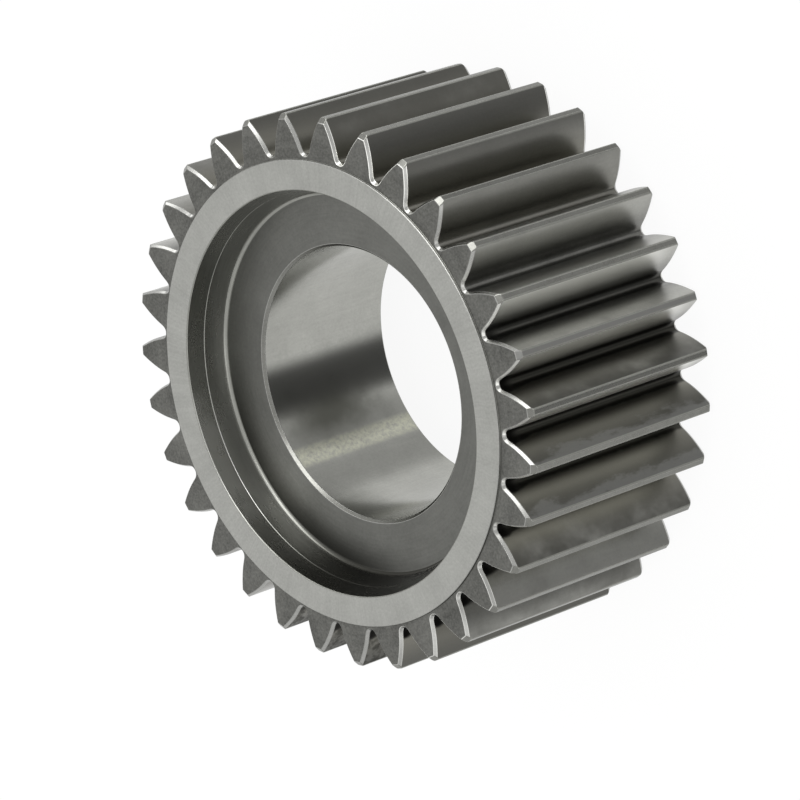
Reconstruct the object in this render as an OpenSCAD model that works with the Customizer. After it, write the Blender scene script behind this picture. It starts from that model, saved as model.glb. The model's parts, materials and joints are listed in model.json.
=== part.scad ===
// Planet gear: a spur gear ring with a plain bearing bore, a deep turned recess in each face
// and a ground flat round the mouth of each recess. The gear stands on one ground flat, its axis is +Z
// and the origin is the middle of that flat.

/* [Teeth] */
// Number of teeth
tooth_count = 31; // [28:1:44]
// Module, the pitch diameter divided by the number of teeth
gear_module = 3; // [2.75:0.05:3.5]
// Pressure angle of the involute flanks
pressure_angle = 25; // [22:0.5:26]
// Height of the tips above the pitch circle, in modules
addendum_factor = 1.3; // [1.1:0.05:1.35]
// Depth of the gaps below the pitch circle, in modules
dedendum_factor = 1.1; // [1:0.05:1.3]
// Part of the circular pitch that is tooth, at the pitch circle
tooth_share = 0.56; // [0.52:0.01:0.58]
// Height of the root curve from the root circle to the start of the involute
root_curve_height = 1.2; // [0.8:0.1:1.8]
// Rounding of the two long edges of each tip
tip_rounding = 0.2; // [0.1:0.05:0.3]

/* [Tooth ends] */
// Length along the axis of the bevel that follows the outline of every tooth and gap
outline_bevel_length = 0.6; // [0.3:0.1:1.5]
// Depth of that bevel, square to the outline
outline_bevel_depth = 0.34; // [0.1:0.02:0.4]
// Length along the axis of the turned chamfer on the tips
tip_chamfer_length = 0.85; // [0.4:0.05:3]
// Radial depth of the turned chamfer on the tips
tip_chamfer_depth = 0.95; // [0.4:0.05:2]

/* [Ground flats] */
// Width of the gear over its two ground flats
overall_width = 45.7; // [34:0.1:80]
// Height of each flat above the ends of the teeth
flat_height = 0.4; // [0.2:0.05:1]
// Distance from the root circle in to the rim of the flat
root_to_flat = 0.85; // [0.7:0.05:3]
// Radial width of the flat with its edge breaks
flat_width = 5.55; // [3:0.05:7]
// Break of the outer and the inner edge of the flat
flat_edge_break = 0.15; // [0.05:0.05:0.3]

/* [Recesses] */
// Depth of each recess below its flat
recess_depth = 7.85; // [5.5:0.05:12]
// Draft of the recess wall
recess_draft = 13.5; // [2:0.5:15]
// Depth of the fine ledge in the recess wall, below the flat
ledge_depth = 3.5; // [2:0.1:4]
// Width of the fine ledge, which lies at 45 degrees
ledge_width = 0.25; // [0.1:0.05:0.5]
// Chamfer between the recess wall and the web
recess_corner = 0.8; // [0.4:0.1:1.2]

/* [Bore] */
// Diameter of the bearing bore
bore_diameter = 50; // [36:0.5:52]
// Chamfer at each end of the bore
bore_chamfer = 0.5; // [0.2:0.1:1]

/* [Hidden] */

// Straight pieces in each part of a tooth's outline
root_steps = 4;
flank_steps = 6;
tip_round_steps = 2;
// Reach of the root curve's two handles, as a share of the distance that the curve spans
root_handle = 0.42;
// How far a cut runs past the surface that it cuts
overrun = 1;

pitch_radius = gear_module * tooth_count / 2;
base_radius = pitch_radius * cos(pressure_angle);
tip_radius = pitch_radius + addendum_factor * gear_module;
root_radius = pitch_radius - dedendum_factor * gear_module;
involute_start = max(base_radius, root_radius + root_curve_height);
half_pitch_angle = 180 / tooth_count;

teeth_bottom = flat_height;
teeth_top = overall_width - flat_height;
flat_outer_radius = root_radius - root_to_flat;
flat_inner_radius = flat_outer_radius - flat_width + flat_edge_break;
bore_radius = bore_diameter / 2;

// Angle between the start of an involute on its base circle and its point at a given radius
function involute_angle(r) =
    let (a = acos(min(1, base_radius / r)))
    tan(a) * 180 / PI - a;

// Angle from the middle of a tooth to its flank at a given radius
function flank_angle(r) =
    tooth_share * half_pitch_angle + involute_angle(pitch_radius) - involute_angle(r);

function polar(r, a) = [r * cos(a), r * sin(a)];
function flank_point(r) = polar(r, flank_angle(r));
function unit(v) = v / norm(v);
function reversed(list) = [for (i = [len(list) - 1:-1:0]) list[i]];
function mirrored(list) = [for (p = reversed(list)) [p.x, -p.y]];
function turned(list, a) = [for (p = list) [p.x * cos(a) - p.y * sin(a), p.x * sin(a) + p.y * cos(a)]];

// Point at share t of the curve that leaves p0 towards h0 and reaches p1 from h1
function bezier(p0, h0, h1, p1, t) =
    pow(1 - t, 3) * p0 + 3 * t * pow(1 - t, 2) * h0 + 3 * t * t * (1 - t) * h1 + pow(t, 3) * p1;

// Flank from the start of the involute almost to the tip, on the anticlockwise side of the tooth on +X
flank_end_radius = tip_radius - tip_rounding;
flank = [
    for (i = [0:flank_steps])
        flank_point(involute_start + (flank_end_radius - involute_start) * i / flank_steps)
];

// Rounding from the end of the flank to the tip circle, about the sharp corner that they would make
tip_corner = flank_point(tip_radius);
tip_round_end = tip_corner + tip_rounding * unit([tip_corner.y, -tip_corner.x]);
tip_round = [
    for (i = [1:tip_round_steps])
        let (t = i / tip_round_steps)
        bezier(flank[flank_steps], tip_corner, tip_corner, tip_round_end, t)
];

// Root curve from the start of the involute down to the middle of the gap
gap_middle = polar(root_radius, half_pitch_angle);
root_span = norm(gap_middle - flank[0]);
root_handle_flank = flank[0] + root_handle * root_span * unit(flank[0] - flank[1]);
root_handle_gap = gap_middle + root_handle * root_span * unit([gap_middle.y, -gap_middle.x]);
root_curve = [
    for (i = [1:root_steps - 1])
        bezier(flank[0], root_handle_flank, root_handle_gap, gap_middle, i / root_steps)
];

// One tooth, from the middle of the gap before it to just before the middle of the gap after it
half_outline = concat(reversed(tip_round), reversed(flank), root_curve);
tooth_outline = concat([[gap_middle.x, -gap_middle.y]], mirrored(half_outline), half_outline);
tooth_points = len(tooth_outline);
gear_outline = [for (k = [0:tooth_count - 1]) each turned(tooth_outline, 2 * half_pitch_angle * k)];
outline_points = len(gear_outline);

// The outline with every side moved in by the same distance, so that the bevel's faces are flat
function moved_in(points, distance) = [
    for (i = [0:len(points) - 1])
        let (
            before = unit(points[i] - points[(i + len(points) - 1) % len(points)]),
            after = unit(points[(i + 1) % len(points)] - points[i]),
            middle = unit(before + after),
            inward = [-middle.y, middle.x]
        )
        points[i] + inward * distance / (before * middle)
];

function layer(points, z) = [for (p = points) [p.x, p.y, z]];

// Side faces between the outline's layer number n and the next
function wall_faces(n) = [
    for (i = [0:outline_points - 1])
        let (j = (i + 1) % outline_points)
        [n * outline_points + i, (n + 1) * outline_points + i, (n + 1) * outline_points + j, n * outline_points + j]
];

// End face of each tooth, as triangles about a hub point in the foot of the tooth
function tooth_end_faces(first, hubs) = [
    for (k = [0:tooth_count - 1], i = [0:tooth_points - 1])
        [
            hubs + k,
            first + k * tooth_points + i,
            first + (k * tooth_points + i + 1) % outline_points
        ]
];

// End face inside the teeth, through every hub point and every middle of a gap
function core_end_face(first, hubs) = [
    for (k = [0:tooth_count - 1]) each [first + k * tooth_points, hubs + k]
];

function flipped(faces) = [for (f = faces) reversed(f)];

// Solid gear with bevelled tooth ends, before the tips are turned and the middle is bored
module toothed_blank() {
    bevelled = moved_in(gear_outline, outline_bevel_depth);
    hub_ring = [
        for (k = [0:tooth_count - 1])
            polar(root_radius - outline_bevel_depth, 2 * half_pitch_angle * k)
    ];
    points = concat(
        layer(bevelled, teeth_bottom),
        layer(gear_outline, teeth_bottom + outline_bevel_length),
        layer(gear_outline, teeth_top - outline_bevel_length),
        layer(bevelled, teeth_top),
        layer(hub_ring, teeth_bottom),
        layer(hub_ring, teeth_top)
    );
    top_layer = 3 * outline_points;
    bottom_hubs = 4 * outline_points;
    top_hubs = bottom_hubs + tooth_count;
    faces = concat(
        tooth_end_faces(0, bottom_hubs),
        [core_end_face(0, bottom_hubs)],
        wall_faces(0),
        wall_faces(1),
        wall_faces(2),
        flipped(tooth_end_faces(top_layer, top_hubs)),
        [reversed(core_end_face(top_layer, top_hubs))]
    );
    polyhedron(points, faces, convexity = 10);
}

// Space that the turned tip chamfers leave, the same from both ends
module turned_tips() {
    slope = tip_chamfer_depth / tip_chamfer_length;
    full_radius = tip_radius + overrun;
    end_radius = tip_radius - tip_chamfer_depth - overrun * slope;
    full_at = teeth_bottom + tip_chamfer_length + overrun / slope;
    rotate_extrude($fn = 180)
        polygon([
            [0, teeth_bottom - overrun],
            [end_radius, teeth_bottom - overrun],
            [full_radius, full_at],
            [full_radius, overall_width - full_at],
            [end_radius, teeth_top + overrun],
            [0, teeth_top + overrun]
        ]);
}

// Core that carries the two ground flats
module flats() {
    cylinder(h = flat_edge_break, r1 = flat_outer_radius - flat_edge_break, r2 = flat_outer_radius, $fn = 180);
    translate([0, 0, flat_edge_break])
        cylinder(h = overall_width - 2 * flat_edge_break, r = flat_outer_radius, $fn = 180);
    translate([0, 0, overall_width - flat_edge_break])
        cylinder(h = flat_edge_break, r1 = flat_outer_radius, r2 = flat_outer_radius - flat_edge_break, $fn = 180);
}

// Half section of one recess with the bore's chamfer, cut from the bottom face up
module recess() {
    ledge_radius = flat_inner_radius - flat_edge_break - (ledge_depth - flat_edge_break) * tan(recess_draft);
    lower_depth = recess_depth - recess_corner;
    foot_radius = ledge_radius - ledge_width - (lower_depth - ledge_depth - ledge_width) * tan(recess_draft);
    rotate_extrude($fn = 180)
        polygon([
            [0, -overrun],
            [flat_inner_radius + overrun, -overrun],
            [flat_inner_radius - flat_edge_break, flat_edge_break],
            [ledge_radius, ledge_depth],
            [ledge_radius - ledge_width, ledge_depth + ledge_width],
            [foot_radius, lower_depth],
            [foot_radius - recess_corner, recess_depth],
            [bore_radius + bore_chamfer, recess_depth],
            [bore_radius, recess_depth + bore_chamfer],
            [0, recess_depth + bore_chamfer]
        ]);
}

module planet_gear() {
    color([0.62, 0.62, 0.6])
        difference() {
            union() {
                intersection() {
                    toothed_blank();
                    turned_tips();
                }
                flats();
            }
            recess();
            translate([0, 0, overall_width])
                mirror([0, 0, 1])
                    recess();
            translate([0, 0, recess_depth])
                cylinder(h = overall_width - 2 * recess_depth, r = bore_radius, $fn = 180);
        }
}

planet_gear();
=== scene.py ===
"""Dresses the planet gear: one closed surface for the whole gear, with a machined finish on every region."""

import json
import math
from collections import namedtuple

import bpy
import numpy as np
from bpy.props import FloatProperty, FloatVectorProperty, IntProperty, PointerProperty
from mathutils import Matrix, Vector


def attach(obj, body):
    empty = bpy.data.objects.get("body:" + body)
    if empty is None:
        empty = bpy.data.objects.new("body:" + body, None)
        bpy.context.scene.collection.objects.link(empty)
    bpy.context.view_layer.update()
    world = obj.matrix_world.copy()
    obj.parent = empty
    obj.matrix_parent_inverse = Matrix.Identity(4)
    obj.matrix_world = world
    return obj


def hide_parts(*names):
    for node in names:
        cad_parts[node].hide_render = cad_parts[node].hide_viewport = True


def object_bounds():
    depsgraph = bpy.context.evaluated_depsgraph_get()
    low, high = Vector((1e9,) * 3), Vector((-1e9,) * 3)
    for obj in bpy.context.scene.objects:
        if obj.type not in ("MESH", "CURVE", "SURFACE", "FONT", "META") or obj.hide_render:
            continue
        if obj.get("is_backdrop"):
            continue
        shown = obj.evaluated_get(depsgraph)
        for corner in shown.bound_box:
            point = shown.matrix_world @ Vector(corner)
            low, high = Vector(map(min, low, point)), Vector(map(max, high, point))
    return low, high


bl_info = {
    "name": "Planet Gear",
    "version": (1, 0, 0),
    "blender": (4, 5, 0),
    "location": "3D View > Sidebar > Planet Gear",
    "description": "Builds a planet gear with machined steel finishes and its studio",
    "category": "Object",
}

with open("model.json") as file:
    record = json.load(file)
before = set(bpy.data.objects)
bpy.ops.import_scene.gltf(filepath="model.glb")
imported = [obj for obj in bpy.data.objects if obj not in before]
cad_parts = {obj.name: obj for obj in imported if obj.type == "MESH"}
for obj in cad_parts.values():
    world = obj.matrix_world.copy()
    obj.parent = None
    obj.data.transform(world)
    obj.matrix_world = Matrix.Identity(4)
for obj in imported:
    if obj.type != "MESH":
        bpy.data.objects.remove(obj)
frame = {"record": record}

NODE = "planet_gear"
BODY = "root"
MILLIMETRE = 0.001

CAD_LOW, CAD_HIGH = (np.array(corner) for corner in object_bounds())
BORE_MOUNT = next(mount for mount in frame["record"]["mounts"] if mount["name"] == "bore")

# Sections of half a tooth's outline, counted along the outline
ROOT_COLUMNS = 7
FLANK_COLUMNS = 8
ROUNDING_COLUMNS = 3
TIP_COLUMNS = 2
# Straight pieces in the section of the hollow corner of a recess
HOLLOW_ROWS = 4

# Handles of the root curve, as a share of the distance that the curve spans
ROOT_HANDLE = 0.42
# Share of the tip rounding that is lost where the bevel is deepest
ROUNDING_LOSS = 0.6
# Most of a straight run that the edge rounding may take at each end
MOST_OF_RUN = 0.3

# Soft panels of the surround: azimuth, elevation, inner and outer angle in degrees, and strength
PANELS = (
    (235, 45, 12, 21, 4.2),
    (240, 13, 13, 24, 2.8),
    (256, 14, 7, 17, 1.8),
    (289, -6, 6, 16, 2.4),
    (145, 17, 10, 26, 0.6),
    (165, -41, 11, 20, -0.9),
    (207, -41, 3, 15, -0.42),
    (246, -41, 6, 20, -0.38),
)
DARKEST_SURROUND = 0.05
# What the rays that see the floor find: its own glow, and the share of its colour that takes the shadow
FLOOR_GLOW = 0.92
FLOOR_SHADOW = 0.12
# Distance in metres at which the camera's view ends
VIEW_END = 20.0

# Finishes in the order of the gear's material slots
FLAT, TOOTH_END, BEVEL, FLANK, TIP, WALL, WEB, BORE, EDGE, SOFT_EDGE = range(10)
# For each finish: name, colour, roughness, run of the tool marks and marks per millimetre, tones of cloud,
# marks and grain, relief of marks and grain in micrometres, and gain from root to tip, which paints shade
# down the gaps
FINISHES = (
    ("ground_flat_steel", "ground", 0.38, "strokes", 2.6, (0.35, 0.25, 0.42), (1.5, 2.6), 0.0),
    ("tooth_end_steel", "blasted", 0.42, "rings", 1.0, (1.1, 0.5, 1.2), (2.0, 7.0), 0.0),
    ("bevel_steel", "cut", 0.25, "rings", 4.0, (0.3, 0.2, 0.3), (1.5, 3.0), 0.0),
    ("flank_steel", "hobbed", 0.33, "strokes", 1.6, (0.45, 0.4, 0.35), (1.2, 1.5), 0.9),
    ("tip_steel", "tip", 0.27, "hoops", 1.4, (0.4, 0.25, 0.45), (1.5, 2.5), 0.0),
    ("recess_steel", "turned", 0.28, "hoops", 1.7, (0.4, 0.45, 0.15), (1.3, 0.5), 0.0),
    ("web_steel", "web", 0.40, "rings", 2.4, (0.4, 0.3, 0.35), (2.5, 2.5), 0.0),
    ("bore_steel", "honed", 0.18, "strokes", 0.9, (0.35, 0.15, 0.22), (0.6, 0.6), 0.0),
    ("edge_steel", "broken", 0.42, "rings", 3.0, (0.3, 0.15, 0.25), (1.5, 3.0), 0.0),
    ("soft_edge_steel", "turned", 0.5, "strokes", 1.6, (0.3, 0.2, 0.25), (1.0, 1.5), 0.0),
)
# Noises: scale per millimetre or per unit of a track, roughness and detail
CLOUD_NOISE = (0.13, 0.6, 4.0)
GRAIN_NOISE = (2.1, 0.65, 3.0)
MARK_NOISE = (1.0, 0.7, 3.0)
FILM_NOISE = (1.0, 0.65, 4.0)
SHADE_BLOTCH_NOISE = (0.45, 0.7, 3.0)
STREAK_NOISE = (1.3, 0.7, 3.0)
# Roughness and detail of a noise that moves an edge
WANDER_NOISE = (0.6, 3.0)
# How much a brighter tone takes off the roughness
TONE_TO_ROUGHNESS = 0.10

# Tool marks: radius in millimetres at which strokes are counted, changes along a mark, and drift
STROKE_RADIUS = 46.0
MARK_CHANGE_PER_MILLIMETRE = 0.06
MARK_CHANGE_PER_RADIAN = 4.0
MARK_DRIFT = 0.05
HOOP_DRIFT = 0.2

# Sectors about the axis where light or shade is painted, and one of wear on a tip: middle in degrees, and
# the cosines of the angle from it at which the sector starts and is full
SECTORS = {
    "thick shade": (147, 0.862, 0.972),
    "low shade": (72, 0.77, 0.90),
    "thin shade": (250, 0.469, 0.819),
    "high shade": (264, 0.766, 0.951),
    "gap_shade": (118, 0.31, 0.54),
    "mottled_shade": (60, 0.93, 0.98),
    "lit flanks": (158, 0.766, 0.966),
    "lit bevels": (140, 0.5, 0.8),
    "dull tip": (174.2, 0.990, 0.996),
    "upper bright edges": (229, 0.956, 0.985),
    "lower bright edges": (104, 0.90, 0.96),
    "streak": (20.5, 0.9955, 0.9991),
    "shaded wall": (90, 0.20, 0.99),
    "shaded web": (28, 0.55, 0.90),
    "lit wall": (8, 0.92, 0.992),
}
# Distances from the axis in millimetres, between which a layer changes
RADII = {
    "root_to_tip": (43.6, 50.2),
    "gap_shade": (43.9, 44.6),
    "film": (48.3, 49.4),
    "lit flanks": (43.6, 47.0),
    "bright edges": (42.6, 43.0),
    "shaded recess": (28.0, 34.5),
}
# Heights in millimetres, between which a layer changes
HEIGHTS = {
    "gap_shade": (39.0, 44.0),
    "near_end_shade": (41.0, 44.0),
    "lit flanks": (1.0, 10.0),
    "lit wall": (38.5, 43.5),
}
# Coats on the steel, most of them painted light or painted shade, the film a stain and the dull tip wear:
# the most that they cover of it, their colour and its scale
COATS = {
    "lit flanks": (0.95, "wear_and_sheen", 2.2),
    "film": (0.25, "stain", 1.0),
    "gap_shade": (0.92, "shade_grey", 0.5),
    "near_end_shade": (0.95, "shade_grey", 0.06),
    "mottled_shade": (0.7, "shade_grey", 0.5),
    "lit bevels": (0.8, "wear_and_sheen", 2.0),
    "dull tip": (1.0, "wear_and_sheen", 0.5),
    "bright edges": (1.0, "wear_and_sheen", 2.2),
    "shaded wall": (0.96, "shade_grey", 0.45),
    "shaded web": (0.75, "shade_grey", 0.45),
    "lit wall": (0.8, "wear_and_sheen", 1.3),
    "streak": (1.0, "reflection_tint", 1.0),
    "dark_reflections": (1.0, "reflection_tint", 0.11),
}
# How much rougher a layer makes the steel
ROUGHER = {
    "film": 0.15,
    "rougher_shade": 0.4,
    "lit bevels": 0.2,
    "dull tip": 0.3,
    "bright edges": -0.15,
    "dark_reflections": 0.1,
}

# Painted shade on the flanks: each patch and the most that it covers, and the scales in root and at tip
SHADE_PATCHES = (("thick shade", 0.9), ("low shade", 0.85), ("thin shade", 0.6), ("high shade", 0.85))
SHADE_SCALES = (3.2, 0.68)
# Scale per millimetre and reach of the noises that move an edge
SHADE_EDGE_WANDER = (0.12, 0.12)
ROOT_SHADE_WANDER = (0.5, 0.5)
DARK_REFLECTION_WANDER = (0.2, 4.0)
# How much further up the gaps the painted shade in their bottoms reaches at their near ends, in millimetres
ROOT_SHADE_RISE = 0.8
# Milky film: middle and reach in radians, scales of its wave, the wave's height and the drop outside
FILM_MIDDLE = 2.56
FILM_REACH = (0.20, 0.36)
FILM_WAVES = (20.0, 0.13, 0.25)
FILM_WAVE_HEIGHT = 6.5
FILM_DROP = 9.0
# Mottled painted shade: the noise between which its blotches change, its least share and how rough it is
# beside the painted shade at the near ends of the gaps
SHADE_BLOTCH_RANGE = (0.40, 0.62)
SHADE_BLOTCH_LEAST = 0.3
SHADE_BLOTCH_ROUGHNESS = 0.8
# Dents: cells of the scatter, which cells have one, the rim as a share of a cell, depth in micrometres
NICK_CELLS_PER_MILLIMETRE = 0.16
NICK_CHOICE = (0.74, 0.75)
NICK_RIM = (0.03, 0.045)
NICK_DEPTH = 40.0
# Phase of a tooth between which its one side changes to the other
SIDE_CHANGE = (0.48, 0.52)
LOWER_BRIGHTNESS = 0.45
STREAK_MOTTLE = (0.18, 0.68)
# Painted dark reflections in the bore: angle in radians, height in millimetres, narrowing along the axis,
# reach in millimetres, and the most that they cover
BORE_DARK_REFLECTIONS = (
    (0.08, 25.0, 0.5, 9.5, 0.85),
    (1.00, 39.0, 0.8, 12.0, 0.65),
    (-1.02, 37.0, 0.8, 9.0, 0.35),
)
DARK_REFLECTION_CORE = 0.5

# A point in a material: position in millimetres, radius, angle and height
Place = namedtuple("Place", "position radius angle height")


def length(name, description, default, low=0.0, high=1.0):
    """A length property in metres."""
    return FloatProperty(
        name=name, description=description, default=default, min=low, max=high,
        unit="LENGTH", precision=5,
    )


def colour(name, description, default):
    """A linear colour property."""
    return FloatVectorProperty(
        name=name, description=description, default=default, size=3, min=0.0, max=1.0, subtype="COLOR",
    )


class GearSizes(bpy.types.PropertyGroup):
    """Sizes of the gear"""

    tooth_count: IntProperty(name="Teeth", description="Number of teeth", default=31, min=12, max=80)
    gear_module: length("Module", "Pitch diameter divided by the number of teeth", 0.003)
    pressure_angle: FloatProperty(
        name="Pressure angle", description="Angle of the involute flanks at the pitch circle",
        default=math.radians(25), min=math.radians(14), max=math.radians(30), subtype="ANGLE",
    )
    addendum: length("Addendum", "Height of the tips above the pitch circle", 0.0039)
    dedendum: length("Dedendum", "Depth of the gaps below the pitch circle", 0.0033)
    tooth_share: FloatProperty(
        name="Tooth share", description="Part of the pitch that is tooth, at the pitch circle",
        default=0.56, min=0.4, max=0.6, subtype="FACTOR",
    )
    root_curve_height: length("Root curve", "Height of the root curve above the root circle", 0.0012)
    tip_rounding: length("Tip rounding", "Rounding of the long edges of each tip", 0.0002)
    bevel_length: length("Bevel length", "Length along the axis of the bevel round every tooth end", 0.0006)
    bevel_depth: length("Bevel depth", "Depth of that bevel, square to the outline", 0.00034)
    tip_chamfer_length: length("Tip chamfer length", "Length along the axis of the tip chamfer", 0.00085)
    tip_chamfer_depth: length("Tip chamfer depth", "Radial depth of the turned tip chamfer", 0.00095)
    width: length("Width", "Width over the two ground flats", float(CAD_HIGH[2] - CAD_LOW[2]))
    flat_height: length("Flat height", "Height of each flat above the ends of the teeth", 0.0004)
    root_to_flat: length("Root to flat", "Distance from the root circle in to the rim of the flat", 0.00085)
    flat_width: length("Flat width", "Radial width of the flat", 0.0054)
    edge_break: length("Edge break", "Break of the edges of the flat", 0.00015)
    recess_depth: length("Recess depth", "Depth of each recess below its flat", 0.00785)
    recess_draft: FloatProperty(
        name="Recess draft", description="Draft of the recess wall",
        default=math.radians(13.5), min=0.0, max=math.radians(30), subtype="ANGLE",
    )
    ledge_depth: length("Ledge depth", "Depth of the fine ledge in the recess wall", 0.0035)
    ledge_width: length("Ledge width", "Width of the fine ledge", 0.00003)
    recess_corner: length("Recess corner", "Chamfer between the recess wall and the web", 0.0008)
    bore_radius: length("Bore radius", "Radius of the bearing bore", BORE_MOUNT["dims"]["r_mm"] * MILLIMETRE)
    bore_chamfer: length("Bore chamfer", "Chamfer at each end of the bore", 0.0005)
    edge_rounding: length("Edge rounding", "Reach of the fine rounding on every turned edge", 0.00007)


class GearFinish(bpy.types.PropertyGroup):
    """Colours of the steel"""

    ground: colour("Ground flat", "Steel of the two ground flats", (0.37, 0.372, 0.35))
    blasted: colour("Tooth ends", "Steel of the tooth ends", (0.135, 0.135, 0.125))
    cut: colour("Bevels", "Steel of the bevels and chamfers", (0.345, 0.345, 0.33))
    hobbed: colour("Flanks", "Steel of the tooth flanks", (0.30, 0.30, 0.28))
    # Painted shade at the bottom of the gaps, on some flanks and in the recesses
    shade_grey: colour("Painted shade", "Grey painted as shade in the gaps, on some flanks and in the recesses", (0.072, 0.07, 0.06))
    tip: colour("Tips", "Steel of the tooth tips", (0.20, 0.20, 0.185))
    turned: colour("Recess", "Steel of the recess walls", (0.27, 0.272, 0.25))
    web: colour("Web", "Steel of the webs", (0.15, 0.151, 0.14))
    honed: colour("Bore", "Steel of the bore", (0.37, 0.372, 0.345))
    # Painted reflection: the streak in the bore, and scaled down, its dark painted reflections
    reflection_tint: colour("Bore tint", "Yellowish tint of the painted reflections in the bore", (0.56, 0.565, 0.46))
    # Wear on the dull tip, and painted light on some flanks, bevels, edges and the recess wall
    wear_and_sheen: colour("Wear and painted light", "Bright steel of wear and of painted light", (0.45, 0.45, 0.43))
    broken: colour("Edges", "Steel on the broken edges", (0.31, 0.31, 0.295))
    stain: colour("Stain", "Milky film that dried oil leaves on the flanks", (0.36, 0.365, 0.36))


class StudioSizes(bpy.types.PropertyGroup):
    """Camera and floor"""

    camera_azimuth: FloatProperty(
        name="Camera azimuth", description="Direction from the gear to the camera, from +X towards +Y",
        default=math.radians(178.892), subtype="ANGLE",
    )
    camera_elevation: FloatProperty(
        name="Camera elevation", description="Height of the camera above the horizon",
        default=math.radians(41.048), subtype="ANGLE",
    )
    camera_roll: FloatProperty(
        name="Camera roll", description="Turn of the gear's axis in the picture, anticlockwise from up",
        default=math.radians(108.614), subtype="ANGLE",
    )
    camera_distance: length("Camera distance", "Distance from the camera to its target", 0.95797, high=10.0)
    camera_target: FloatVectorProperty(
        name="Camera target", description="Point that the camera looks at",
        default=(0.003659, 0.004830, 0.026944), size=3, unit="LENGTH", precision=5,
    )
    camera_lens: FloatProperty(
        name="Lens", description="Focal length on a sensor 36 mm wide",
        default=241.165, min=20.0, unit="CAMERA",
    )
    floor_half_side: length("Floor half side", "Half a side of the square floor", 4.0, high=20.0)
    floor_colour: colour("Floor", "Colour of the floor", (0.80, 0.80, 0.80))


def polar(radius, angle):
    """Points at a radius and an angle, as an array whose last axis is x and y."""
    return np.stack([radius * np.cos(angle), radius * np.sin(angle)], axis=-1)


def unit(vectors):
    """Vectors of length one."""
    return vectors / np.linalg.norm(vectors, axis=-1, keepdims=True)


def involute(radius, base_radius):
    """Angle that an involute has turned through at a radius: tan a - a, where cos a = base / radius."""
    angle = np.arccos(np.clip(base_radius / radius, -1.0, 1.0))
    return np.tan(angle) - angle


def blend(start, end, share):
    """Mix of two arrays, from start at share 0 to end at share 1."""
    return start + (end - start) * share


def half_tooth(sizes, inset, reach, rounding):
    """Outline of half a tooth, from the middle of a gap to the middle of the tooth on +X.

    The flank is an involute of the base circle. The outline moved in by a distance is the same
    involute turned by distance / base radius. The root curve is a cubic curve whose points move
    in along its own normals, and the tip is an arc of radius reach that a short curve joins to
    the flank. inset, reach and rounding are columns with one row per section. Returns points and
    outward normals, rows by columns by two.
    """
    pitch = sizes.gear_module * sizes.tooth_count / 2
    base = pitch * math.cos(sizes.pressure_angle)
    root = pitch - sizes.dedendum
    start = max(base, root + sizes.root_curve_height)
    half_pitch = math.pi / sizes.tooth_count
    thickness = sizes.tooth_share * half_pitch + involute(pitch, base)

    def flank_at(radius, moved):
        angle = thickness - involute(radius, base) - moved / base
        slope = np.arccos(base / radius)
        normal = np.stack([-np.sin(angle - slope), np.cos(angle - slope)], axis=-1)
        return polar(radius, angle), normal

    # Root curve from the foot of the flank to the middle of the gap, with its handles
    foot, foot_normal = flank_at(np.array(start), np.array(0.0))
    middle = polar(np.array(root), np.array(half_pitch))
    span = np.linalg.norm(middle - foot)
    down_flank = np.stack([-foot_normal[1], foot_normal[0]])
    handle_foot = foot + ROOT_HANDLE * span * down_flank
    handle_middle = middle + ROOT_HANDLE * span * unit(np.array([middle[1], -middle[0]]))
    share = np.linspace(1, 0, ROOT_COLUMNS + 1)[:-1, None]
    curve = (
        (1 - share) ** 3 * foot + 3 * share * (1 - share) ** 2 * handle_foot
        + 3 * share ** 2 * (1 - share) * handle_middle + share ** 3 * middle
    )
    run = (
        3 * (1 - share) ** 2 * (handle_foot - foot) + 6 * share * (1 - share) * (handle_middle - handle_foot)
        + 3 * share ** 2 * (middle - handle_middle)
    )
    curve_normal = unit(np.stack([run[:, 1], -run[:, 0]], axis=-1))
    curve_normal = curve_normal * np.sign(np.sum(curve_normal * curve, axis=-1, keepdims=True))
    root_points = curve[None] - inset[:, :, None] * curve_normal[None]
    root_normals = np.broadcast_to(curve_normal[None], root_points.shape)

    # Flank from its foot to the start of the tip rounding
    foot_radius = np.sqrt(base ** 2 + (math.sqrt(start ** 2 - base ** 2) - inset) ** 2)
    share = np.linspace(0, 1, FLANK_COLUMNS + 1)[None]
    flank_points, flank_normals = flank_at(blend(foot_radius, reach - rounding, share), inset)

    # Tip rounding about the corner of flank and tip circle
    corner, _normal = flank_at(reach, inset)
    tip_end = corner + rounding[:, :, None] * unit(np.stack([corner[..., 1], -corner[..., 0]], axis=-1))
    share = np.linspace(0, 1, ROUNDING_COLUMNS + 1)[None, 1:, None]
    from_point = flank_points[:, -1:]
    round_points = (
        (1 - share) ** 3 * from_point + 3 * share * (1 - share) * corner + share ** 3 * tip_end
    )
    round_normals = unit(blend(flank_normals[:, -1:], unit(tip_end), share))

    # Tip arc to the middle of the tooth
    end_angle = np.arctan2(tip_end[..., 1], tip_end[..., 0])
    share = np.linspace(0, 1, TIP_COLUMNS + 1)[None, 1:]
    tip_angle = end_angle * (1 - share)
    tip_points = polar(np.broadcast_to(reach, tip_angle.shape), tip_angle)
    tip_normals = unit(tip_points)

    points = np.concatenate([root_points, flank_points, round_points, tip_points], axis=1)
    normals = np.concatenate([root_normals, flank_normals, round_normals, tip_normals], axis=1)
    return points, normals


def whole_outline(sizes, half):
    """The gear's outline from its half tooth: mirrored in the tooth's middle line, then turned to each."""
    mirrored = half * np.array([1.0, -1.0])
    tooth = np.concatenate([mirrored, half[:, ::-1][:, 1:-1]], axis=1)
    turn = 2 * math.pi * np.arange(sizes.tooth_count) / sizes.tooth_count
    cosine = np.cos(turn)[None, :, None]
    sine = np.sin(turn)[None, :, None]
    x = tooth[:, None, :, 0]
    y = tooth[:, None, :, 1]
    around = np.stack([x * cosine - y * sine, x * sine + y * cosine], axis=-1)
    return around.reshape(half.shape[0], -1, 2)


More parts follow.
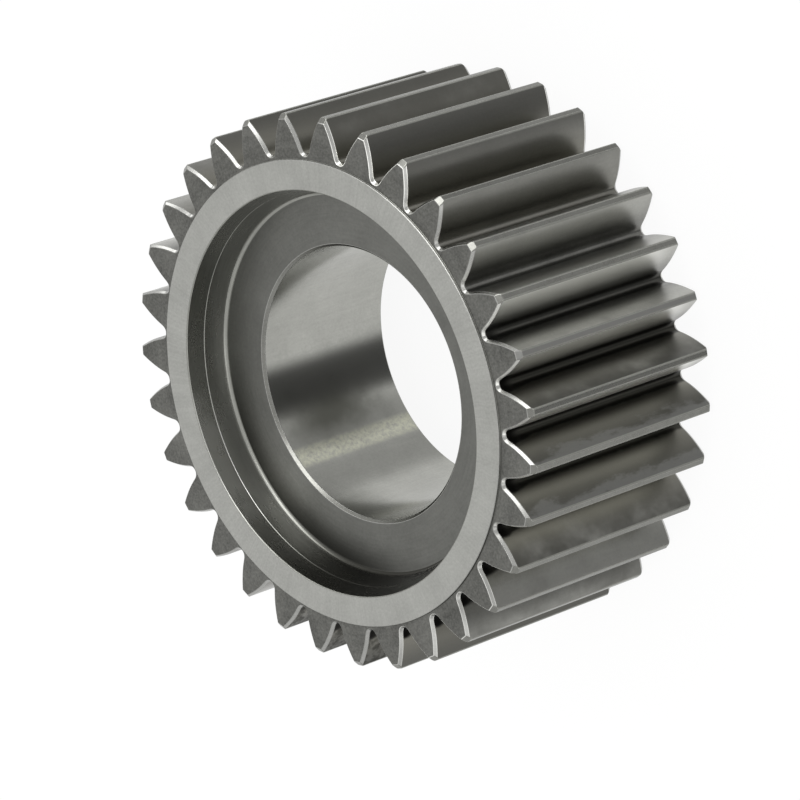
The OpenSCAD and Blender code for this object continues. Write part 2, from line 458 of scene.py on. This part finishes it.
def turned_section(sizes):
    """Half section of the turned middle, from the bore's middle up and out to the foot of the flat.

    Every corner becomes two rows, one on each side at the reach of the edge rounding, and each
    row keeps the normal of the straight run that it lies on. Between a corner's two rows the
    finish before it runs on where it is wall, flat, web or soft edge, and elsewhere it is the
    plain edge. Returns radius and height of each row, its normal in radius and height, and the
    finish between each row and the next.
    """
    top = sizes.width
    teeth_top = top - sizes.flat_height
    web_top = top - sizes.recess_depth
    flat_outer = sizes.gear_module * sizes.tooth_count / 2 - sizes.dedendum - sizes.root_to_flat
    flat_inner = flat_outer - sizes.flat_width
    draft = math.tan(sizes.recess_draft)
    ledge = flat_inner - sizes.edge_break - (sizes.ledge_depth - sizes.edge_break) * draft
    low_depth = sizes.recess_depth - sizes.recess_corner
    foot = ledge - sizes.ledge_width - (low_depth - sizes.ledge_depth - sizes.ledge_width) * draft
    bore = sizes.bore_radius
    # Hollow corner between web and wall: a quadratic curve about the point where both would meet
    on_web = np.array([foot - sizes.recess_corner, web_top])
    on_wall = np.array([foot, top - low_depth])
    meeting = np.array([foot - sizes.recess_corner * draft, web_top])
    share = np.linspace(0, 1, HOLLOW_ROWS + 1)[:, None]
    hollow = (1 - share) ** 2 * on_web + 2 * share * (1 - share) * meeting + share ** 2 * on_wall
    section = [
        (bore, top / 2, BORE),
        (bore, web_top - sizes.bore_chamfer, TIP),
        (bore + sizes.bore_chamfer, web_top, WEB),
        *((radius, height, WALL) for radius, height in hollow),
        (ledge - sizes.ledge_width, top - sizes.ledge_depth - sizes.ledge_width, WALL),
        (ledge, top - sizes.ledge_depth, WALL),
        (flat_inner - sizes.edge_break, top - sizes.edge_break, SOFT_EDGE),
        (flat_inner, top, FLAT),
        (flat_outer - sizes.edge_break, top, EDGE),
        (flat_outer, top - sizes.edge_break, WALL),
        (flat_outer, teeth_top, TOOTH_END),
    ]
    corners = np.array([corner[:2] for corner in section])
    finishes = [corner[2] for corner in section]
    runs = np.diff(corners, axis=0)
    lengths = np.linalg.norm(runs, axis=1, keepdims=True)
    along = runs / lengths
    side = np.stack([-along[:, 1], along[:, 0]], axis=-1)
    near = np.minimum(sizes.edge_rounding, MOST_OF_RUN * lengths)
    # The run out to the teeth follows the last corner level and faces up
    along = np.vstack([along, [1.0, 0.0]])
    side = np.vstack([side, [0.0, 1.0]])
    near = np.vstack([near, [sizes.edge_rounding]])
    before = corners[1:] - near[:-1] * along[:-1]
    after = corners[1:] + near[1:] * along[1:]
    rows = np.stack([before, after], axis=1).reshape(-1, 2)
    normals = np.stack([side[:-1], side[1:]], axis=1).reshape(-1, 2)
    rows = np.vstack([corners[:1], rows])
    normals = np.vstack([side[:1], normals])
    between = [finishes[0]]
    for place, finish in enumerate(finishes[1:]):
        before_finish = finishes[place]
        turned_edge = before_finish if before_finish in (WALL, FLAT, WEB, SOFT_EDGE) else EDGE
        between += [turned_edge, finish]
    return rows, normals, between


def toothed_section(sizes):
    """Rows of the outline from the end face down to the middle of the teeth.

    At height z above the end of the bevel the outline is moved in in proportion, and the tips
    follow the turned cone. Returns inset, reach, rounding and height of each row, and the share
    of outline normal and of up in the normals of the flanks and of the tips.
    """
    top = sizes.width - sizes.flat_height
    tip = sizes.gear_module * sizes.tooth_count / 2 + sizes.addendum
    near = sizes.edge_rounding
    bevel_foot = top - sizes.bevel_length
    chamfer_foot = top - sizes.tip_chamfer_length
    height = np.array([
        top, top - near, bevel_foot + near, bevel_foot - near,
        chamfer_foot + near, chamfer_foot - near, sizes.width / 2,
    ])
    inset = sizes.bevel_depth * np.clip((height - bevel_foot) / sizes.bevel_length, 0, 1)
    reach = tip - sizes.tip_chamfer_depth * np.clip((height - chamfer_foot) / sizes.tip_chamfer_length, 0, 1)
    inset[0] += near
    reach[0] -= near
    rounding = sizes.tip_rounding * (1 - ROUNDING_LOSS * inset / sizes.bevel_depth)
    bevel = unit(np.array([sizes.bevel_length, sizes.bevel_depth]))
    chamfer = unit(np.array([sizes.tip_chamfer_length, sizes.tip_chamfer_depth]))
    level = [0.0, 1.0]
    upright = [1.0, 0.0]
    flank_tilt = np.array([level, bevel, bevel, upright, upright, upright, upright])
    tip_tilt = np.array([level, chamfer, chamfer, chamfer, chamfer, upright, upright])
    return inset[:, None], reach[:, None], rounding[:, None], height, flank_tilt, tip_tilt


def carried_round(section, circle):
    """A section carried round the axis: x and y are its first value times the circle, z its second."""
    level = np.broadcast_to(section[:, None, 1:], (len(section), len(circle), 1))
    return np.concatenate([section[:, None, :1] * circle[None], level], axis=-1)


def gear_surface(sizes):
    """The whole gear as one closed grid: round the axis by columns, round the section by rows.

    The rows run from the middle of the bore over the web, the recess wall, the flat and the
    tooth ends to the middle of the teeth, and back as the mirror image below. Returns points
    and normals, rows by columns by three, and the finish of each square, rows by columns.
    """
    inset, reach, rounding, heights, flank_tilt, tip_tilt = toothed_section(sizes)
    half_points, half_normals = half_tooth(sizes, inset, reach, rounding)
    columns = half_points.shape[1]
    flank_end = ROOT_COLUMNS + FLANK_COLUMNS
    towards_tip = np.clip((np.arange(columns) - flank_end) / ROUNDING_COLUMNS, 0, 1)
    tilt = unit(blend(flank_tilt[:, None], tip_tilt[:, None], towards_tip[None, :, None]))
    mirrored_columns = np.concatenate([np.arange(columns), np.arange(columns)[::-1][1:-1]])
    tooth_tilt = np.tile(tilt[:, mirrored_columns], (1, sizes.tooth_count, 1))

    outline = whole_outline(sizes, half_points)
    outline_normals = whole_outline(sizes, half_normals)
    tooth_points = np.concatenate(
        [outline, np.broadcast_to(heights[:, None, None], outline.shape[:2] + (1,))], axis=-1
    )
    tooth_normals = np.concatenate([outline_normals * tooth_tilt[..., :1], tooth_tilt[..., 1:]], axis=-1)

    # Turned rows share the angles of the outline's first row, so that both join in straight lines
    turned, turned_normals, between = turned_section(sizes)
    angle = np.arctan2(outline[0, :, 1], outline[0, :, 0])
    circle = np.stack([np.cos(angle), np.sin(angle)], axis=-1)
    upper_points = np.concatenate([carried_round(turned, circle), tooth_points])
    upper_normals = np.concatenate([carried_round(turned_normals, circle), tooth_normals])
    lower_points = upper_points[::-1][1:-1] * [1, 1, -1] + [0, 0, sizes.width]
    lower_normals = upper_normals[::-1][1:-1] * [1, 1, -1]

    # Finish of each square, first for half a tooth and then for every tooth
    part = np.zeros(columns - 1, int)
    part[flank_end:] = 1
    part[flank_end + ROUNDING_COLUMNS:] = 2
    flank_part = [EDGE, BEVEL, EDGE, FLANK, FLANK, FLANK]
    rounding_part = [EDGE, TIP, TIP, SOFT_EDGE, SOFT_EDGE, SOFT_EDGE]
    tip_part = [EDGE, TIP, TIP, TIP, TIP, TIP]
    by_part = np.stack([flank_part, rounding_part, tip_part], axis=1)
    tooth_finish = by_part[:, part]
    tooth_finish = np.concatenate([tooth_finish, tooth_finish[:, ::-1]], axis=1)
    tooth_finish = np.tile(tooth_finish, (1, sizes.tooth_count))
    middle_finish = np.repeat(np.array(between)[:, None], tooth_finish.shape[1], axis=1)
    upper_finish = np.concatenate([middle_finish, tooth_finish])
    finish = np.concatenate([upper_finish, upper_finish[::-1]])
    points = np.concatenate([upper_points, lower_points])
    normals = unit(np.concatenate([upper_normals, lower_normals]))
    return points, normals, finish


def grid_mesh(name, points, normals, finish, closed=True):
    """Mesh of a grid of points: square (i, j) joins rows i and i + 1 and columns j and j + 1.

    Each square runs to the next row first, which is outwards where that turn is anticlockwise. A closed grid
    runs round both ways, so that its last row joins its first and its last column its first.
    """
    rows, columns = points.shape[:2]
    row = np.arange(rows if closed else rows - 1)[:, None]
    column = np.arange(columns if closed else columns - 1)[None]
    next_row = (row + 1) % rows
    next_column = (column + 1) % columns
    corners = np.stack([
        row * columns + column, next_row * columns + column,
        next_row * columns + next_column, row * columns + next_column,
    ], axis=-1).reshape(-1, 4)
    mesh = bpy.data.meshes.new(name)
    mesh.vertices.add(rows * columns)
    mesh.vertices.foreach_set("co", points.reshape(-1).astype(np.float32))
    mesh.loops.add(corners.size)
    mesh.loops.foreach_set("vertex_index", corners.reshape(-1).astype(np.int32))
    mesh.polygons.add(len(corners))
    mesh.polygons.foreach_set("loop_start", (4 * np.arange(len(corners))).astype(np.int32))
    mesh.polygons.foreach_set("material_index", finish.reshape(-1).astype(np.int32))
    mesh.polygons.foreach_set("use_smooth", np.ones(len(corners), bool))
    mesh.update(calc_edges=True)
    mesh.validate()
    if normals is not None:
        mesh.normals_split_custom_set_from_vertices(normals.reshape(-1, 3))
    return mesh


class Signal:
    """A socket's value in a material. Python arithmetic on it adds Math nodes."""

    def __init__(self, bench, socket):
        self.bench = bench
        self.socket = socket

    def __add__(self, other):
        return self.bench.math("ADD", self, other)

    def __radd__(self, other):
        return self.bench.math("ADD", other, self)

    def __sub__(self, other):
        return self.bench.math("SUBTRACT", self, other)

    def __rsub__(self, other):
        return self.bench.math("SUBTRACT", other, self)

    def __mul__(self, other):
        return self.bench.math("MULTIPLY", self, other)

    def __rmul__(self, other):
        return self.bench.math("MULTIPLY", other, self)


class Bench:
    """Adds nodes to one node tree."""

    def __init__(self, tree):
        self.tree = tree
        tree.nodes.clear()

    def node(self, kind, settings=None, sockets=None, output=0):
        """Adds a node: its settings first, then the values or links of its sockets."""
        made = self.tree.nodes.new(kind)
        for key, value in (settings or {}).items():
            setattr(made, key, value)
        for key, value in (sockets or {}).items():
            socket = made.inputs[key]
            if isinstance(value, Signal):
                self.tree.links.new(value.socket, socket)
            else:
                socket.default_value = value
        return Signal(self, made.outputs[output]) if made.outputs else made

    def outputs(self, signal):
        """Every output of the node that a signal comes from, by name."""
        return {socket.name: Signal(self, socket) for socket in signal.socket.node.outputs}

    def math(self, operation, *values):
        """A Math node on one or more values."""
        return self.node("ShaderNodeMath", {"operation": operation}, dict(enumerate(values)))

    def noise(self, position, scale, roughness, detail):
        """Noise of three dimensions, 0 to 1, at a scale per millimetre."""
        sockets = {"Vector": position, "Scale": scale, "Detail": detail, "Roughness": roughness}
        return self.node("ShaderNodeTexNoise", {"noise_dimensions": "3D"}, sockets)

    def step(self, value, low, high):
        """Smooth step of a value from 0 at low to 1 at high."""
        settings = {"interpolation_type": "SMOOTHSTEP"}
        return self.node("ShaderNodeMapRange", settings, {"Value": value, "From Min": low, "From Max": high})

    def mix(self, factor, first, second):
        """Colour between first at factor 0 and second at factor 1, by the numbers of the colour sockets."""
        return self.node("ShaderNodeMix", {"data_type": "RGBA"}, {0: factor, 6: first, 7: second}, 2)


def rgba(values, scale=1.0):
    """Linear colour with alpha one, scaled and kept under one."""
    return tuple(min(1.0, part * scale) for part in values) + (1.0,)


def place_on_gear(bench):
    """Object coordinates in millimetres, with radius and height in millimetres and angle in radians."""
    position = bench.node("ShaderNodeTexCoord", output="Object")
    sockets = {0: position, "Scale": 1 / MILLIMETRE}
    position = bench.node("ShaderNodeVectorMath", {"operation": "SCALE"}, sockets)
    axes = bench.outputs(bench.node("ShaderNodeSeparateXYZ", sockets={0: position}))
    x = axes["X"]
    y = axes["Y"]
    radius = bench.math("SQRT", x * x + y * y)
    angle = bench.math("ARCTAN2", y, x)
    return Place(position, radius, angle, axes["Z"])


def tool_marks(bench, place, run, per_millimetre):
    """Noise of the tool's marks, 0 to 1, fine across them and slow along them.

    "rings" keep one radius, "hoops" keep one height and "strokes" run along the axis.
    """
    if run == "strokes":
        across = place.angle * STROKE_RADIUS
        along = place.height * MARK_CHANGE_PER_MILLIMETRE
    else:
        across = place.radius if run == "rings" else place.height
        along = place.angle * MARK_CHANGE_PER_RADIAN
    drift = place.radius * HOOP_DRIFT if run == "hoops" else place.height * MARK_DRIFT
    track = bench.node("ShaderNodeCombineXYZ", sockets={0: across * per_millimetre, 1: along, 2: drift})
    return bench.noise(track, *MARK_NOISE)


def sector(bench, place, name, drift=None):
    """1 in a sector about the axis and 0 outside it, by the cosine of the angle from its middle."""
    middle, start, full = SECTORS[name]
    facing = bench.math("COSINE", place.angle - math.radians(middle))
    return bench.step(facing if drift is None else facing + drift, start, full)


def wander(bench, place, scale, reach):
    """Noise about zero that moves an edge, at a scale per millimetre."""
    return (bench.noise(place.position, scale, *WANDER_NOISE) - 0.5) * reach


def coat(bench, finish, steel_colour, share, name):
    """The steel's colour under a coat that covers a share of it; the coats are painted light and shade, a
    stain and wear.
    """
    most, tint, scale = COATS[name]
    return bench.mix(share * most, steel_colour, rgba(getattr(finish, tint), scale))


def upper_side(bench, place, tooth_count):
    """1 on the anticlockwise side of every tooth and 0 on its other side."""
    phase = bench.math("FRACT", place.angle * (tooth_count / (2 * math.pi)) + 0.5)
    return bench.step(phase, *SIDE_CHANGE)


def root_to_tip(bench, place):
    """0 in the root and 1 at the tip, by the distance from the axis."""
    return bench.step(place.radius, *RADII["root_to_tip"])


def painted_shade_patches(bench, place, side):
    """Share of painted shade on a flank, which darkens it.

    Two patches lie on the anticlockwise sides of a few teeth and two more on both sides of a
    quarter of the teeth. Noise moves their edges.
    """
    drift = wander(bench, place, *SHADE_EDGE_WANDER)
    thick, low, thin, high = (sector(bench, place, name, drift) * most for name, most in SHADE_PATCHES)
    one_side = bench.math("MAXIMUM", thick, low) * side
    both_sides = bench.math("MAXIMUM", thin, high)
    return bench.math("MAXIMUM", one_side, both_sides)


def painted_root_shade(bench, place):
    """1 in painted shade at the bottom of the gaps, reaching a little further up at their near ends."""
    near_end = bench.step(place.height, *HEIGHTS["gap_shade"])
    edge = place.radius + wander(bench, place, *ROOT_SHADE_WANDER) - near_end * ROOT_SHADE_RISE
    bottom = 1.0 - bench.step(edge, *RADII["gap_shade"])
    return bottom * sector(bench, place, "gap_shade")


def oil_film(bench, place):
    """1 where a milky film of dried oil lies: along the tips of a few teeth, with a wavy edge."""
    turned = bench.math("ABSOLUTE", place.angle - FILM_MIDDLE)
    inside = 1.0 - bench.step(turned, *FILM_REACH)
    along_angle, along_height, along_radius = FILM_WAVES
    track = bench.node("ShaderNodeCombineXYZ", sockets={
        0: place.angle * along_angle, 1: place.height * along_height, 2: place.radius * along_radius,
    })
    wave = bench.noise(track, *FILM_NOISE) - 0.5
    edge = place.radius + wave * FILM_WAVE_HEIGHT + (inside - 1.0) * FILM_DROP
    return bench.step(edge, *RADII["film"])


def painted_flank_shade(bench, place, side):
    """Share of mottled painted shade on the anticlockwise sides of a few teeth."""
    blotch = bench.step(bench.noise(place.position, *SHADE_BLOTCH_NOISE), *SHADE_BLOTCH_RANGE)
    return sector(bench, place, "mottled_shade") * side * (blotch * (1.0 - SHADE_BLOTCH_LEAST) + SHADE_BLOTCH_LEAST)


def nicks(bench, place):
    """1 in small round dents, one in a few of the cells of a coarse scatter."""
    sockets = {"Vector": place.position, "Scale": NICK_CELLS_PER_MILLIMETRE, "Randomness": 1.0}
    spread = bench.outputs(bench.node("ShaderNodeTexVoronoi", sockets=sockets))
    lucky = bench.node("ShaderNodeSeparateColor", sockets={0: spread["Color"]})
    chosen = bench.step(lucky, *NICK_CHOICE)
    return (1.0 - bench.step(spread["Distance"], *NICK_RIM)) * chosen


def painted_bore_streak(bench, place):
    """1 in a mottled streak along the bore about one direction: a painted reflection."""
    mottle = bench.noise(place.position, *STREAK_NOISE)
    return sector(bench, place, "streak") * bench.step(mottle, *STREAK_MOTTLE)


def painted_bore_reflections(bench, place):
    """Share of painted dark reflections on the bore's wall, each an oval with soft wavy edges."""
    drift = wander(bench, place, *DARK_REFLECTION_WANDER)
    share = 0.0
    for middle_angle, middle_height, narrowing, reach, most in BORE_DARK_REFLECTIONS:
        across = (place.angle - middle_angle) * BORE_MOUNT["dims"]["r_mm"]
        along = (place.height - middle_height) * narrowing
        distance = bench.math("SQRT", across * across + along * along)
        dark_patch = (1.0 - bench.step(distance + drift, DARK_REFLECTION_CORE, reach)) * most
        share = bench.math("MAXIMUM", share, dark_patch)
    return share


def flank_stain_and_painted_light(finish, tooth_count):
    """Layer for the flanks: painted light on some sides, painted shade on some flanks, at the bottom of the
    gaps and in mottled patches, a milky film and nicks.
    """
    def layer(bench, place, tint, rough, relief):
        side = upper_side(bench, place, tooth_count)
        # Painted light on the clockwise sides of some teeth
        lit_share = sector(bench, place, "lit flanks") * (1.0 - side)
        lit_share = lit_share * bench.step(place.radius, *RADII["lit flanks"])
        lit_share = lit_share * bench.step(place.height, *HEIGHTS["lit flanks"])
        film = oil_film(bench, place)
        gap_shade = painted_root_shade(bench, place)
        near_end_shade = gap_shade * bench.step(place.height, *HEIGHTS["near_end_shade"])
        mottled_shade = painted_flank_shade(bench, place, side)
        # Painted shade on some flanks, less dark in the root than at the tip
        in_root, at_tip = (rgba(finish.shade_grey, scale) for scale in SHADE_SCALES)
        painted_shade_tint = bench.mix(root_to_tip(bench, place), in_root, at_tip)
        tint = coat(bench, finish, tint, lit_share, "lit flanks")
        tint = bench.mix(painted_shade_patches(bench, place, side), tint, painted_shade_tint)
        tint = coat(bench, finish, tint, film, "film")
        # Painted shade at the bottom of the gaps, nearly black at their near ends, and mottled painted shade
        # on a few flanks
        tint = coat(bench, finish, tint, gap_shade, "gap_shade")
        tint = coat(bench, finish, tint, near_end_shade, "near_end_shade")
        tint = coat(bench, finish, tint, mottled_shade, "mottled_shade")
        # The painted shade is made rougher as well
        rougher_shade = bench.math("MAXIMUM", mottled_shade * SHADE_BLOTCH_ROUGHNESS, near_end_shade)
        rough = rough + film * ROUGHER["film"] + rougher_shade * ROUGHER["rougher_shade"]
        return tint, rough, relief - nicks(bench, place) * NICK_DEPTH
    return layer


def lit_bevel_sides(finish, tooth_count):
    """Layer for the bevels: on some teeth their clockwise sides get painted light and are made rougher."""
    def layer(bench, place, tint, rough, relief):
        clockwise = 1.0 - upper_side(bench, place, tooth_count)
        lit_share = sector(bench, place, "lit bevels") * clockwise
        tint = coat(bench, finish, tint, lit_share, "lit bevels")
        return tint, rough + lit_share * ROUGHER["lit bevels"], relief
    return layer


def dull_tip(finish):
    """Layer for the tips: one tooth is dulled."""
    def layer(bench, place, tint, rough, relief):
        dull = sector(bench, place, "dull tip")
        tint = coat(bench, finish, tint, dull, "dull tip")
        return tint, rough + dull * ROUGHER["dull tip"], relief
    return layer


def painted_edge_highlights(finish):
    """Layer for the edges: painted highlights on the edges of the tooth ends of some teeth, at two places.
    """
    def layer(bench, place, tint, rough, relief):
        upper = sector(bench, place, "upper bright edges")
        lower = sector(bench, place, "lower bright edges") * LOWER_BRIGHTNESS
        bright = bench.math("MAXIMUM", upper, lower) * bench.step(place.radius, *RADII["bright edges"])
        tint = coat(bench, finish, tint, bright, "bright edges")
        return tint, rough + bright * ROUGHER["bright edges"], relief
    return layer


# oil names the sector of painted shade that the layer uses
def shaded_recess(finish, oil):
    """Layer for wall or web of a recess: painted shade about one direction, growing outwards, and painted
    light in one place on the wall.
    """
    def layer(bench, place, tint, rough, relief):
        drift = wander(bench, place, *SHADE_EDGE_WANDER)
        # Painted shade in a sector, towards the outside of the recess, and painted light on the wall
        shade = sector(bench, place, oil, drift) * bench.step(place.radius, *RADII["shaded recess"])
        on_wall = bench.step(place.height, *HEIGHTS["lit wall"])
        lit_share = sector(bench, place, "lit wall", drift) * on_wall
        tint = coat(bench, finish, tint, shade, oil)
        tint = coat(bench, finish, tint, lit_share, "lit wall")
        return tint, rough, relief
    return layer


def used_bore(finish):
    """Layer for the bore: a painted reflection in a yellowish streak, and painted dark reflections."""
    def layer(bench, place, tint, rough, relief):
        dark_reflections = painted_bore_reflections(bench, place)
        tint = coat(bench, finish, tint, painted_bore_streak(bench, place), "streak")
        tint = coat(bench, finish, tint, dark_reflections, "dark_reflections")
        return tint, rough + dark_reflections * ROUGHER["dark_reflections"], relief
    return layer


def steel(row, base, layer=None):
    """Machined steel in Principled shading, by one row of FINISHES.

    Base colour = base x (1 + cloud + tool marks + grain), each by its own tone, and the tool
    marks and the grain give the bump by their relief in micrometres. gain is how much brighter
    than the root the tip of a tooth is. A layer changes colour, roughness and relief further.
    """
    name, _colour, roughness, run, per_millimetre, tones, reliefs, gain = row
    material = bpy.data.materials.new(name)
    material.use_nodes = True
    bench = Bench(material.node_tree)
    place = place_on_gear(bench)
    cloud_tone, mark_tone, grain_tone = tones
    mark_relief, grain_relief = reliefs
    cloud = bench.noise(place.position, *CLOUD_NOISE)
    grain = bench.noise(place.position, *GRAIN_NOISE)
    mark = tool_marks(bench, place, run, per_millimetre)
    tone = (cloud - 0.5) * cloud_tone + (mark - 0.5) * mark_tone + (grain - 0.5) * grain_tone
    rough = roughness - tone * TONE_TO_ROUGHNESS
    # A tip brighter than its root: painted shade down the gaps
    if gain:
        tone = tone + (root_to_tip(bench, place) - 0.5) * gain
    # The mix runs from none of the base colour to twice of it, so its factor is half the scale
    half_scale = bench.math("MAXIMUM", tone * 0.5 + 0.5, 0.0)
    tint = bench.mix(half_scale, rgba(base, 0.0), rgba(base, 2.0))
    relief = mark * mark_relief + grain * grain_relief
    if layer:
        tint, rough, relief = layer(bench, place, tint, rough, relief)
    bump = bench.node("ShaderNodeBump", sockets={
        "Strength": 1.0, "Distance": MILLIMETRE * MILLIMETRE, "Height": relief,
    })
    shader = bench.node("ShaderNodeBsdfPrincipled", sockets={
        "Base Color": tint, "Metallic": 1.0, "Roughness": rough, "Normal": bump,
    })
    bench.node("ShaderNodeOutputMaterial", sockets={"Surface": shader})
    return material


def gear_materials(finish, tooth_count):
    """The finishes in slot order."""
    layers = {
        BEVEL: lit_bevel_sides(finish, tooth_count),
        FLANK: flank_stain_and_painted_light(finish, tooth_count),
        TIP: dull_tip(finish),
        WALL: shaded_recess(finish, "shaded wall"),
        WEB: shaded_recess(finish, "shaded web"),
        BORE: used_bore(finish),
        EDGE: painted_edge_highlights(finish),
    }
    return [steel(row, getattr(finish, row[1]), layers.get(slot)) for slot, row in enumerate(FINISHES)]


class BuildGear(bpy.types.Operator):
    """Builds the planet gear as one closed surface in place of its plain solid"""

    bl_idname = "planet_gear.build_gear"
    bl_label = "Planet gear"

    def execute(self, context):
        sizes = context.scene.gear_sizes
        points, normals, finish = gear_surface(sizes)
        mesh = grid_mesh("planet_gear_surface", points, normals, finish)
        for material in gear_materials(context.scene.gear_finish, sizes.tooth_count):
            mesh.materials.append(material)
        gear = bpy.data.objects.new("planet_gear_surface", mesh)
        context.scene.collection.objects.link(gear)
        if len(mesh.polygons) != finish.size:
            raise RuntimeError("the gear's surface lost faces")
        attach(gear, BODY)
        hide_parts(NODE)
        return {"FINISHED"}


def level_sheet(half_side, squares=8):
    """Level square sheet at the height of the floor: x and y each run from minus to plus half a side."""
    along = np.linspace(-half_side, half_side, squares + 1)
    x, y = np.meshgrid(along, along, indexing="ij")
    return np.stack([x, y, np.zeros_like(x)], axis=-1)


def seen_rays(bench):
    """1 for a ray of the camera, of a reflection or through glass, and 0 for a ray that only lights."""
    rays = bench.outputs(bench.node("ShaderNodeLightPath"))
    seen = rays["Is Camera Ray"] + rays["Is Glossy Ray"] + rays["Is Transmission Ray"]
    return bench.math("MINIMUM", seen, 1.0)


def floor_material(colour_of_floor):
    """Pale matt floor that the rays which see it find nearly white, with the gear's shadow kept."""
    material = bpy.data.materials.new("floor_paper")
    material.use_nodes = True
    bench = Bench(material.node_tree)
    matt = bench.node("ShaderNodeBsdfDiffuse", sockets={"Color": rgba(colour_of_floor)})
    glow = bench.node("ShaderNodeEmission", sockets={"Color": (1, 1, 1, 1), "Strength": FLOOR_GLOW})
    dimmed = bench.node("ShaderNodeBsdfDiffuse", sockets={"Color": rgba(colour_of_floor, FLOOR_SHADOW)})
    bright = bench.node("ShaderNodeAddShader", sockets={0: dimmed, 1: glow})
    both = bench.node("ShaderNodeMixShader", sockets={0: seen_rays(bench), 1: matt, 2: bright})
    bench.node("ShaderNodeOutputMaterial", sockets={"Surface": both})
    return material


def panel_of_light(bench, way, azimuth, elevation, inner, outer):
    """1 in a round panel of the surround and 0 outside it, by the angle from its middle, in degrees."""
    turn = math.radians(azimuth)
    rise = math.radians(elevation)
    middle = (math.cos(rise) * math.cos(turn), math.cos(rise) * math.sin(turn), math.sin(rise))
    facing = bench.node("ShaderNodeVectorMath", {"operation": "DOT_PRODUCT"}, {0: way, 1: middle}, "Value")
    return bench.step(facing, math.cos(math.radians(outer)), math.cos(math.radians(inner)))


def studio_world(world):
    """White surround with soft panels: a bright one adds its strength and a dark one takes it off.

    Only the rays that see the surround find the panels. A ray that only lights finds plain white.
    """
    world.use_nodes = True
    bench = Bench(world.node_tree)
    way = bench.node("ShaderNodeTexCoord", output="Generated")
    level = 1.0
    for azimuth, elevation, inner, outer, strength in PANELS:
        level = level + panel_of_light(bench, way, azimuth, elevation, inner, outer) * strength
    level = bench.math("MAXIMUM", level, DARKEST_SURROUND)
    seen = seen_rays(bench)
    found = level * seen + (1.0 - seen)
    surround = bench.node("ShaderNodeBackground", sockets={"Color": (1, 1, 1, 1), "Strength": found})
    bench.node("ShaderNodeOutputWorld", sockets={"Surface": surround})


def camera_matrix(studio):
    """Camera axes: it looks at the target, and the gear's axis leans from up by the roll."""
    azimuth = studio.camera_azimuth
    elevation = studio.camera_elevation
    level = math.cos(elevation)
    back = Vector((level * math.cos(azimuth), level * math.sin(azimuth), math.sin(elevation)))
    axis_up = (Vector((0, 0, 1)) - back * back.z).normalized()
    axis_right = axis_up.cross(back)
    up = axis_up * math.cos(studio.camera_roll) + axis_right * math.sin(studio.camera_roll)
    right = up.cross(back)
    matrix = Matrix((right, up, back)).transposed().to_4x4()
    matrix.translation = Vector(studio.camera_target) + back * studio.camera_distance
    return matrix


class BuildStage(bpy.types.Operator):
    """Builds the floor, the light and the camera"""

    bl_idname = "planet_gear.build_stage"
    bl_label = "Stage"

    def execute(self, context):
        scene = context.scene
        studio = scene.studio_sizes
        points = level_sheet(studio.floor_half_side)
        finish = np.zeros((points.shape[0] - 1, points.shape[1] - 1), int)
        mesh = grid_mesh("floor", points, None, finish, closed=False)
        floor = bpy.data.objects.new("floor", mesh)
        mesh.materials.append(floor_material(studio.floor_colour))
        scene.collection.objects.link(floor)
        floor.visible_glossy = False
        floor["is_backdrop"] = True

        scene.world = bpy.data.worlds.new("studio")
        studio_world(scene.world)
        camera_data = bpy.data.cameras.new("camera")
        camera_data.lens = studio.camera_lens
        camera_data.clip_end = VIEW_END
        camera = bpy.data.objects.new("camera", camera_data)
        camera.matrix_world = camera_matrix(studio)
        scene.collection.objects.link(camera)
        scene.camera = camera
        scene.view_settings.view_transform = "Standard"
        return {"FINISHED"}


class GearPanel(bpy.types.Panel):
    """Lists what the gear is built from"""

    bl_idname = "VIEW3D_PT_planet_gear"
    bl_label = "Planet Gear"
    bl_space_type = "VIEW_3D"
    bl_region_type = "UI"
    bl_category = "Planet Gear"

    def draw(self, context):
        layout = self.layout
        for operator in OPERATORS:
            layout.operator(operator.bl_idname)
        for group in (context.scene.gear_sizes, context.scene.gear_finish, context.scene.studio_sizes):
            for name in group.bl_rna.properties.keys():
                if name not in {"rna_type", "name"}:
                    layout.prop(group, name)


OPERATORS = (BuildGear, BuildStage)
CLASSES = (GearSizes, GearFinish, StudioSizes) + OPERATORS + (GearPanel,)


def register():
    for cls in CLASSES:
        bpy.utils.register_class(cls)
    bpy.types.Scene.gear_sizes = PointerProperty(type=GearSizes)
    bpy.types.Scene.gear_finish = PointerProperty(type=GearFinish)
    bpy.types.Scene.studio_sizes = PointerProperty(type=StudioSizes)


def unregister():
    del bpy.types.Scene.studio_sizes
    del bpy.types.Scene.gear_finish
    del bpy.types.Scene.gear_sizes
    for cls in reversed(CLASSES):
        bpy.utils.unregister_class(cls)


def main():
    register()
    bpy.ops.planet_gear.build_gear()
    bpy.ops.planet_gear.build_stage()


if __name__ == "__main__":
    main()
